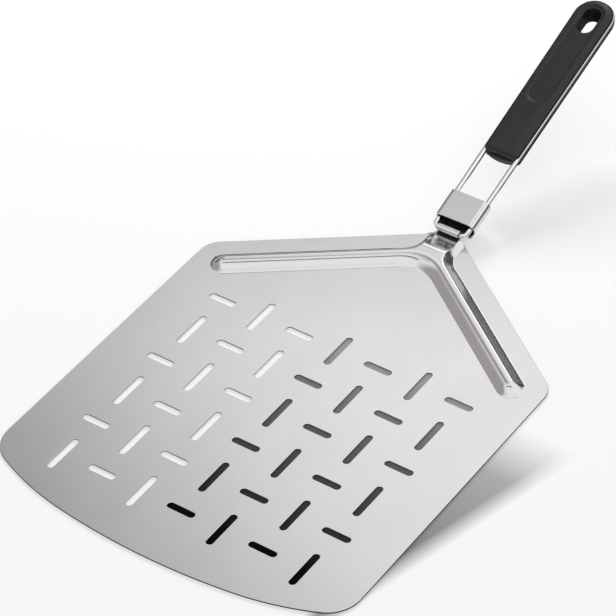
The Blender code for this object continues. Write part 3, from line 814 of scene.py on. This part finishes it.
# Places of the Mix node's colour sockets
MIX_COLOURS = (6, 7)
MIX_RESULT = 2


def new_material(name):
    """A material with its node tree and its shader node."""
    material = bpy.data.materials.new(name)
    material.use_nodes = True
    return material, material.node_tree, material.node_tree.nodes["Principled BSDF"]


def add(tree, kind, **values):
    """A node with its properties and its named input values set."""
    node = tree.nodes.new(kind)
    for key, value in values.items():
        if hasattr(node, key):
            setattr(node, key, value)
        else:
            node.inputs[key.replace("_", " ")].default_value = value
    return node


def feed(tree, node, *sources):
    """Link sources to a node's first inputs, where None skips one, and return its first output."""
    for source, socket in zip(sources, node.inputs):
        if source:
            tree.links.new(source, socket)
    return node.outputs[0]


def product(tree, first, second):
    """Multiply two values."""
    return feed(tree, add(tree, "ShaderNodeMath", operation="MULTIPLY"), first, second)


def weighted_sum(tree, value, weight, base):
    """A value times a fixed weight, added to a base value."""
    node = add(tree, "ShaderNodeMath", operation="MULTIPLY_ADD")
    node.inputs[1].default_value = weight
    return feed(tree, node, value, None, base)


def between(tree, value, low, high, from_low=NOISE_RANGE[0], from_high=NOISE_RANGE[1]):
    """Map a value from one range onto another, held at both ends."""
    node = add(tree, "ShaderNodeMapRange", From_Min=from_low, From_Max=from_high, To_Min=low, To_Max=high)
    return feed(tree, node, value)


def mixed_colour(tree, factor, *colours):
    """Mix two colours, each of them fixed or taken from another node."""
    node = add(tree, "ShaderNodeMix", data_type="RGBA")
    tree.links.new(factor, node.inputs["Factor"])
    for number, colour in zip(MIX_COLOURS, colours):
        if isinstance(colour, tuple):
            node.inputs[number].default_value = (*colour, 1.0)
        else:
            tree.links.new(colour, node.inputs[number])
    return node.outputs[MIX_RESULT]


def object_place(tree):
    return add(tree, "ShaderNodeTexCoord").outputs["Object"]


def stretched_noise(tree, size, tilt, detail):
    """Noise with its own feature size along each axis, turned by the tilt."""
    mapping = add(tree, "ShaderNodeMapping", vector_type="TEXTURE", Rotation=(tilt, 0.0, 0.0), Scale=size)
    noise = add(tree, "ShaderNodeTexNoise", Scale=1.0, Detail=detail, Roughness=NOISE_ROUGHNESS)
    return feed(tree, noise, feed(tree, mapping, object_place(tree)))


def bump(tree, height, strength, distance, below=None):
    """A normal tilted by a height, on top of another normal where one is given."""
    node = add(tree, "ShaderNodeBump", Strength=strength, Distance=distance)
    tree.links.new(height, node.inputs["Height"])
    if below:
        tree.links.new(below, node.inputs["Normal"])
    return node.outputs["Normal"]


def steel(name, dark, light, rough, grain_size, grain_strength, tilt=0.0):
    """Stainless steel: grain along one axis, soft clouding and a few faint scratches."""
    material, tree, shader = new_material(name)
    grain = stretched_noise(tree, grain_size, tilt, detail=3.0)
    cloud = stretched_noise(tree, CLOUD_SIZE, tilt, detail=3.0)
    marks = stretched_noise(tree, SCRATCH_SIZE, tilt, detail=2.0)
    tone = weighted_sum(tree, grain, GRAIN_TONE, between(tree, cloud, 0.0, 1.0 - GRAIN_TONE))
    worn = between(tree, marks, 0.0, 1.0, *SCRATCH_RANGE)
    scuffed = weighted_sum(tree, worn, SCRATCH_ROUGH, between(tree, grain, *rough))
    tree.links.new(mixed_colour(tree, tone, dark, light), shader.inputs["Base Color"])
    tree.links.new(scuffed, shader.inputs["Roughness"])
    tree.links.new(bump(tree, grain, grain_strength, GRAIN_DEPTH), shader.inputs["Normal"])
    shader.inputs["Metallic"].default_value = 1.0
    return material


def plastic(name, dark, light):
    """Moulded plastic: fine spark texture, handling shine in soft patches."""
    material, tree, shader = new_material(name)
    fine = stretched_noise(tree, FINE_SIZE, HANDLE_TILT, detail=2.0)
    coarse = stretched_noise(tree, COARSE_SIZE, HANDLE_TILT, detail=3.0)
    handled = stretched_noise(tree, HANDLED_SIZE, HANDLE_TILT, detail=4.0)
    colour = mixed_colour(tree, between(tree, coarse, 0.0, 1.0), dark, light)
    lower = bump(tree, coarse, SPARK_STRENGTH, COARSE_DEPTH)
    normal = bump(tree, fine, SPARK_STRENGTH, FINE_DEPTH, lower)
    tree.links.new(colour, shader.inputs["Base Color"])
    tree.links.new(between(tree, handled, *PLASTIC_ROUGH), shader.inputs["Roughness"])
    tree.links.new(normal, shader.inputs["Normal"])
    shader.inputs["Specular IOR Level"].default_value = PLASTIC_SPECULAR
    return material


blade_steel = steel("blade_satin_steel", dark=(0.72, 0.72, 0.722), light=(0.80, 0.80, 0.802),
                    rough=(0.165, 0.205), grain_size=(0.7 * MM, 16 * MM, 0.7 * MM), grain_strength=0.05)
# Near-black cut edges: partly the darker sheared edge, partly painted shade and dark reflection
edge_and_shade_steel = steel("cut_edge_and_painted_shade_steel", dark=(0.03, 0.03, 0.031), light=(0.06, 0.06, 0.062),
                   rough=(0.42, 0.55), grain_size=(1.1 * MM, 1.1 * MM, 0.2 * MM), grain_strength=0.3)
# Near-black steel inside the hinge roll is painted shade, not a finish of the steel
roll_shade_steel = steel("roll_painted_shade_steel", dark=(0.035, 0.035, 0.036), light=(0.07, 0.07, 0.071),
                   rough=(0.4, 0.5), grain_size=(0.7 * MM, 12 * MM, 0.7 * MM), grain_strength=0.1)
rod_steel = steel("polished_rod_steel", dark=(0.88, 0.88, 0.885), light=(0.95, 0.95, 0.955),
                  rough=(0.09, 0.13), grain_size=(0.4 * MM, 14 * MM, 0.4 * MM), grain_strength=0.05,
                  tilt=HANDLE_TILT)
sleeve_steel = steel("sleeve_satin_steel", dark=(0.78, 0.78, 0.782), light=(0.86, 0.86, 0.862),
                     rough=(0.16, 0.21), grain_size=(16 * MM, 0.45 * MM, 0.45 * MM), grain_strength=0.05,
                     tilt=HANDLE_TILT)
screw_steel = steel("screw_plain_steel", dark=(0.34, 0.34, 0.35), light=(0.48, 0.48, 0.49),
                    rough=(0.28, 0.4), grain_size=(1.4 * MM,) * 3, grain_strength=0.25, tilt=HANDLE_TILT)
upper_plastic = plastic("grip_upper_black", dark=(0.007, 0.007, 0.0072), light=(0.010, 0.010, 0.0102))
lower_plastic = plastic("grip_lower_black", dark=(0.005, 0.005, 0.0052), light=(0.008, 0.008, 0.0082))


# Pieces

piece("peel_blade", blade_mesh(), BLADE_FRAME, "blade", "blade", "blade_steel",
      blade_steel, edge_and_shade_steel, roll_shade_steel)

rod = piece("peel_rod", rod_mesh("peel_rod", ROD_RADIUS), HANDLE_FRAME, "handle", "wire_frame", "rod_steel",
            rod_steel)
smooth(rod, SHARP_ROD)

sleeve = piece("peel_sleeve", sleeve_mesh(), HANDLE_FRAME, "sleeve", "lock_sleeve", "sleeve_steel",
               sleeve_steel)
smooth(sleeve, SHARP_SHEET)

groove = rod_mesh("groove", ROD_RADIUS + FIT)
holes = [screw_hole(place) for place in SCREW_PLACES]
upper_mesh = grip_half("upper", GRIP_UPPER_START, GRIP_UPPER_HEIGHT, GRIP_UPPER_ROUND, 0.0, 1)
lower_mesh = grip_half("lower", GRIP_LOWER_START, GRIP_LOWER_DEPTH, GRIP_LOWER_ROUND, GRIP_END_BOW, -1)
upper_mesh = carve("peel_grip_upper", upper_mesh, [groove, hang_hole(), recess()] + holes)
lower_mesh = carve("peel_grip_lower", lower_mesh, [groove, hang_hole()] + holes)
for half, mesh, material in (("upper", upper_mesh, upper_plastic), ("lower", lower_mesh, lower_plastic)):
    grip = piece(f"peel_grip_{half}", mesh, HANDLE_FRAME, "handle", f"grip_{half}", f"grip_{half}_plastic",
                 material)
    smooth(grip, SHARP_GRIP)

for number, place in enumerate(SCREW_PLACES, start=1):
    screw = piece(f"peel_screw_{number}", screw_mesh(f"peel_screw_{number}", place), HANDLE_FRAME, "handle",
                  f"grip_screw_{number}", "screw_steel", screw_steel)
    smooth(screw, SHARP_SHEET)


# Stage: floor, cards that only reflections show, lamps and world, in metres where MM is not given

FLOOR_Z = -0.3 * MM
FLOOR_HALF_SIZE = 3.0
FLOOR_LIT = 0.9
FLOOR_GLOW = 1.0
FLOOR_WHITE_SHARE = 0.42
WHITE = (1.0, 1.0, 1.0, 1.0)
BLACK = (0.0, 0.0, 0.0)

# Painted shade on the floor under the slots: its reach across, and along from the middle of the slots
SLOT_SHADE_X = (-16 * MM, 126 * MM)
SLOT_SHADE_SOFT_X = 4 * MM
SLOT_SHADE_Y = (-118 * MM, 118 * MM)
SLOT_SHADE_SOFT_Y = 10 * MM
SLOT_SHADES = ((-255 * MM, 0.005), (-180 * MM, 0.06), (-140 * MM, 0.11), (-100 * MM, 0.19), (-60 * MM, 0.33))

# Painted shadow on the floor beside the blade's right edge
WEDGE_SLOPE = 0.26
WEDGE_EDGE = 222 * MM
WEDGE_SOFT = 16 * MM
WEDGE_SHADES = (0.8, 0.55)
WEDGE_SHADE_RANGE = (-225 * MM, -105 * MM)
WEDGE_START = (128 * MM, 136 * MM)
WEDGE_END = (-110 * MM, -60 * MM)

# Flags lie just over the floor, under and behind the rear edges
FLAG_Z = 0.4 * MM
FLAG_DARK = (0.02, 0.02, 0.02)
FLAG_GREY = (0.22, 0.22, 0.22)
FLAG_SIDE = 0.9
FLAG_BACK = 2.6
FLAG_MIDDLE = (-0.05, 0.036)
FLAG_LEFT_FRONT = 0.12
FLAG_MIDDLE_FRONT = 0.15
FLAG_RIGHT_FRONT = ((0.036, 0.072), (0.16, -0.016))

# Sweep card: its light grows along one axis and falls at both ends of the other
SWEEP_X = (-2.6, -0.3)
SWEEP_Y = (0.5, 2.6)
SWEEP_Z = 2.0
SWEEP_AXIS = (0.558, 0.829, 0.0)
SWEEP_LEVELS = (0.33, 1.09)
SWEEP_RANGE = (0.03, 0.57)
FALL_AXIS = (-0.582, 0.813, 0.0)
FALL_LEVELS = (1.0, 0.3)
FALL_RANGE = (2.29, 2.63)
NEAR_LEVELS = (0.84, 1.0)
NEAR_RANGE = (1.55, 1.98)

HORIZON_STEP = 10.0
STRIP_CENTRE = (0.19, -0.36, 2.35)
STRIP_ALONG = (0.81, 0.58, 0.0)
STRIP_WIDTH = 0.4
STRIP_HEIGHT = 2.4
STRIP_DARK = (0.05, 0.05, 0.05)
SKY_LIGHT = 0.6


def seen_by_background(tree):
    """1 for camera, glossy and transmission rays, 0 for the others."""
    path = add(tree, "ShaderNodeLightPath")
    total = path.outputs["Is Camera Ray"]
    for name in ("Is Glossy Ray", "Is Transmission Ray"):
        total = feed(tree, add(tree, "ShaderNodeMath", operation="MAXIMUM"), total, path.outputs[name])
    return total


def bare_material(name):
    """A material with its node tree and its open surface socket."""
    material, tree, shader = new_material(name)
    tree.nodes.remove(shader)
    return material, tree, tree.nodes["Material Output"].inputs["Surface"]


def object_axes(tree):
    """X, Y and Z of the object's own coordinates."""
    node = add(tree, "ShaderNodeSeparateXYZ")
    feed(tree, node, object_place(tree))
    return node.outputs


def along_axis(tree, axis):
    """Distance along an axis in the object's own coordinates."""
    node = add(tree, "ShaderNodeVectorMath", operation="DOT_PRODUCT")
    node.inputs[1].default_value = axis
    feed(tree, node, object_place(tree))
    return node.outputs["Value"]


def edge_fade(tree, coordinate, low, high, soft):
    """1 between two limits of a coordinate, fading to 0 outside them."""
    rise = between(tree, coordinate, 0.0, 1.0, low - soft, low)
    fall = between(tree, coordinate, 1.0, 0.0, high, high + soft)
    return product(tree, rise, fall)


def mixed_shader(tree, factor, first, second):
    return feed(tree, add(tree, "ShaderNodeMixShader"), factor, first.outputs[0], second.outputs[0])


def stage_piece(name, corners, material, faces=None):
    """A piece of the stage, with one face round all its corners where no faces are given."""
    mesh = bpy.data.meshes.new(name)
    mesh.from_pydata(corners, [], faces or [tuple(range(len(corners)))])
    mesh.materials.append(material)
    item = bpy.data.objects.new(name, mesh)
    scene.collection.objects.link(item)
    return item


def reflector(name, corners, material, faces=None):
    """A piece of the stage that only reflections show."""
    item = stage_piece(name, corners, material, faces)
    item.visible_camera = False
    item.visible_diffuse = False
    item.visible_transmission = False
    item.visible_volume_scatter = False
    item.visible_shadow = False


def rectangle(xs, ys, z):
    """Corners of a level rectangle."""
    return [(xs[0], ys[0], z), (xs[1], ys[0], z), (xs[1], ys[1], z), (xs[0], ys[1], z)]


def slot_shade(tree, y):
    """Painted shade: grey of the floor under the slots, darker towards the front."""
    front = SLOT_SHADES[0][0]
    back = SLOT_SHADES[-1][0]
    node = add(tree, "ShaderNodeValToRGB")
    stops = node.color_ramp.elements
    for stop, (_, level) in zip(stops, (SLOT_SHADES[0], SLOT_SHADES[-1])):
        stop.color = (level, level, level, 1.0)
    for place, level in SLOT_SHADES[1:-1]:
        stops.new((place - front) / (back - front)).color = (level, level, level, 1.0)
    return feed(tree, node, between(tree, y, 0.0, 1.0, front, back))


def wedge_shade(tree, x, y):
    """Share of painted soft shadow beside the blade's right edge, wider and paler towards the back."""
    lean = weighted_sum(tree, y, -WEDGE_SLOPE, x)
    shade = between(tree, lean, 1.0, 0.0, WEDGE_EDGE - WEDGE_SOFT, WEDGE_EDGE)
    for value, levels, limits in ((y, (1.0, 0.0), WEDGE_END), (x, (0.0, 1.0), WEDGE_START),
                                  (y, WEDGE_SHADES, WEDGE_SHADE_RANGE)):
        shade = product(tree, shade, between(tree, value, *levels, *limits))
    return shade


def floor_material():
    """Pale floor that keeps the shadow, with painted shade under the slots and a painted shadow beside the
    blade.
    """
    material, tree, surface = bare_material("pale_floor")
    x, y, _ = object_axes(tree)
    middle = BLADE_FRAME.translation.y
    across = edge_fade(tree, x, *SLOT_SHADE_X, SLOT_SHADE_SOFT_X)
    along = edge_fade(tree, y, *(middle + reach for reach in SLOT_SHADE_Y), SLOT_SHADE_SOFT_Y)
    # Painted shade on the floor, seen through the slots
    under = product(tree, across, along)
    painted_slot_shade = slot_shade(tree, y)
    # Painted shadow beside the blade's right edge
    beside = wedge_shade(tree, x, y)
    lit = add(tree, "ShaderNodeBsdfDiffuse")
    glow = add(tree, "ShaderNodeEmission")
    for level, shader in ((FLOOR_LIT, lit), (FLOOR_GLOW, glow)):
        open_colour = mixed_colour(tree, beside, (level,) * 3, BLACK)
        colour = mixed_colour(tree, under, open_colour, painted_slot_shade)
        tree.links.new(colour, shader.inputs["Color"])
    share = between(tree, seen_by_background(tree), 0.0, FLOOR_WHITE_SHARE, 0.0, 1.0)
    tree.links.new(mixed_shader(tree, share, lit, glow), surface)
    return material


def card_material(name, colour):
    """A plain glowing card."""
    material, tree, surface = bare_material(name)
    glow = add(tree, "ShaderNodeEmission", Color=(*colour, 1.0), Strength=1.0)
    tree.links.new(glow.outputs["Emission"], surface)
    return material


def strip_material(name, azimuth, elevation, radius, colour, soft):
    """A strip's colour, fading out towards its ends and its upper and lower edges."""
    material, tree, surface = bare_material(name)
    middle = math.radians((azimuth[0] + azimuth[1]) / 2)
    turn = feed(tree, add(tree, "ShaderNodeMath", operation="ARCTAN2"),
                along_axis(tree, (-math.sin(middle), math.cos(middle), 0.0)),
                along_axis(tree, (math.cos(middle), math.sin(middle), 0.0)))
    reach = math.radians((azimuth[1] - azimuth[0]) / 2 - soft)
    ends = edge_fade(tree, turn, -reach, reach, math.radians(soft))
    low, high = (radius * math.sin(math.radians(rise)) for rise in elevation)
    fade = min(radius * math.sin(math.radians(soft)), (high - low) / 3)
    bottom = low + fade if low > 0 else low
    edges = edge_fade(tree, object_axes(tree)["Z"], bottom, high - fade, fade)
    glow = add(tree, "ShaderNodeEmission", Color=(*colour, 1.0), Strength=1.0)
    clear = add(tree, "ShaderNodeBsdfTransparent")
    tree.links.new(mixed_shader(tree, product(tree, ends, edges), clear, glow), surface)
    return material


def horizon(name, azimuth, elevation, radius, colour, soft):
    """A strip round the scene between two azimuths and two elevations, in degrees."""
    corners = []
    columns = math.ceil((azimuth[1] - azimuth[0]) / HORIZON_STEP)
    rows = math.ceil((elevation[1] - elevation[0]) / HORIZON_STEP)
    for i in range(columns + 1):
        turn = math.radians(azimuth[0] + (azimuth[1] - azimuth[0]) * i / columns)
        for j in range(rows + 1):
            lift = math.radians(elevation[0] + (elevation[1] - elevation[0]) * j / rows)
            level = radius * math.cos(lift)
            corners.append((level * math.cos(turn), level * math.sin(turn), radius * math.sin(lift)))
    faces = []
    for i in range(columns):
        for j in range(rows):
            corner = i * (rows + 1) + j
            faces.append((corner, corner + rows + 1, corner + rows + 2, corner + 1))
    reflector(name, corners, strip_material(name, azimuth, elevation, radius, colour, soft), faces)


def facing_card(centre, along, width, height):
    """Corners of a card that faces the origin; along is about the direction of its height."""
    middle = Vector(centre)
    facing = -middle.normalized()
    across = facing.cross(Vector(along)).normalized() * width / 2
    up = across.cross(facing).normalized() * height / 2
    corners = (middle - across - up, middle + across - up, middle + across + up, middle - across + up)
    return [tuple(corner) for corner in corners]


def sweep_material(name):
    """Light that grows across the card, for the long gradient over the blade."""
    material, tree, surface = bare_material(name)
    strength = between(tree, along_axis(tree, SWEEP_AXIS), *SWEEP_LEVELS, *SWEEP_RANGE)
    behind = along_axis(tree, FALL_AXIS)
    for levels, limits in ((FALL_LEVELS, FALL_RANGE), (NEAR_LEVELS, NEAR_RANGE)):
        strength = product(tree, strength, between(tree, behind, *levels, *limits))
    glow = add(tree, "ShaderNodeEmission", Color=WHITE)
    tree.links.new(strength, glow.inputs["Strength"])
    tree.links.new(glow.outputs["Emission"], surface)
    return material


floor_span = (-FLOOR_HALF_SIZE, FLOOR_HALF_SIZE)
stage_piece("floor", rectangle(floor_span, floor_span, FLOOR_Z), floor_material())

# Azimuth runs from +X towards +Y
horizon("dark_horizon", azimuth=(-5.0, 180.0), elevation=(0.0, 18.0), radius=2.75,
        colour=(0.02, 0.02, 0.02), soft=4.0)
horizon("dark_left", azimuth=(121.0, 150.0), elevation=(13.0, 28.0), radius=2.7,
        colour=(0.06, 0.06, 0.06), soft=4.0)
horizon("rose_horizon", azimuth=(148.0, 250.0), elevation=(0.0, 50.0), radius=2.8,
        colour=(0.42, 0.385, 0.39), soft=14.0)
horizon("grey_front", azimuth=(-165.0, 8.0), elevation=(0.0, 37.0), radius=2.85,
        colour=(0.42, 0.42, 0.42), soft=10.0)
horizon("bright_strip", azimuth=(88.0, 118.0), elevation=(20.0, 36.0), radius=2.6,
        colour=(2.6, 2.6, 2.6), soft=4.0)
horizon("grey_over", azimuth=(136.0, 204.0), elevation=(51.0, 75.0), radius=2.5,
        colour=(0.68, 0.68, 0.68), soft=6.0)

reflector("dark_strip_over", facing_card(STRIP_CENTRE, STRIP_ALONG, STRIP_WIDTH, STRIP_HEIGHT),
          card_material("dark_strip_over", STRIP_DARK))

right_corners = [*FLAG_RIGHT_FRONT, (FLAG_SIDE, FLAG_RIGHT_FRONT[-1][1]), (FLAG_SIDE, FLAG_BACK),
                 (FLAG_MIDDLE[1], FLAG_BACK)]
reflector("flag_right", [(x, y, FLAG_Z) for x, y in right_corners], card_material("flag_right", FLAG_GREY))
reflector("flag_left", rectangle((-FLAG_SIDE, FLAG_MIDDLE[0]), (FLAG_LEFT_FRONT, FLAG_BACK), FLAG_Z),
          card_material("flag_left", FLAG_DARK))
reflector("flag_back", rectangle(FLAG_MIDDLE, (FLAG_MIDDLE_FRONT, FLAG_BACK), FLAG_Z),
          card_material("flag_back", FLAG_DARK))

reflector("sweep_card", rectangle(SWEEP_X, SWEEP_Y, SWEEP_Z), sweep_material("sweep_card"))


def lamp(name, place, size, power):
    """A square lamp aimed at the origin and left out of reflections."""
    light = bpy.data.lights.new(name, "AREA")
    light.shape = "SQUARE"
    light.size = size
    light.energy = power
    item = bpy.data.objects.new(name, light)
    scene.collection.objects.link(item)
    item.location = place
    item.rotation_euler = (-Vector(place)).to_track_quat("-Z", "Y").to_euler()
    item.visible_glossy = False


lamp("key", place=(-1.0, 1.5, 0.97), size=0.5, power=30.0)
lamp("fill", place=(1.0, -1.6, 1.5), size=1.6, power=11.0)

world = bpy.data.worlds.new("studio")
scene.world = world
world.use_nodes = True
sky = world.node_tree
sky_light = sky.nodes["Background"]
sky_light.inputs["Color"].default_value = WHITE
sky_light.inputs["Strength"].default_value = SKY_LIGHT
sky_white = add(sky, "ShaderNodeBackground", Color=WHITE, Strength=1.0)
sky_mix = mixed_shader(sky, seen_by_background(sky), sky_light, sky_white)
sky.links.new(sky_mix, sky.nodes["World Output"].inputs["Surface"])

scene.view_settings.view_transform = "Standard"


# Camera at the photograph's view, with its turn in degrees and its lens and sensor in millimetres

CAMERA_PLACE = (1.03236, -1.46055, 1.60205)
CAMERA_TURN = (48.06357, 2.41184, 34.98603)
CAMERA_LENS = 189.608
CAMERA_SENSOR = 36.0
CAMERA_CLIP_END = 100.0

camera_data = bpy.data.cameras.new("photo_view")
camera_data.sensor_width = CAMERA_SENSOR
camera_data.lens = CAMERA_LENS
camera_data.clip_end = CAMERA_CLIP_END
camera = bpy.data.objects.new("photo_view", camera_data)
scene.collection.objects.link(camera)
camera.location = CAMERA_PLACE
camera.rotation_euler = [math.radians(angle) for angle in CAMERA_TURN]
scene.camera = camera
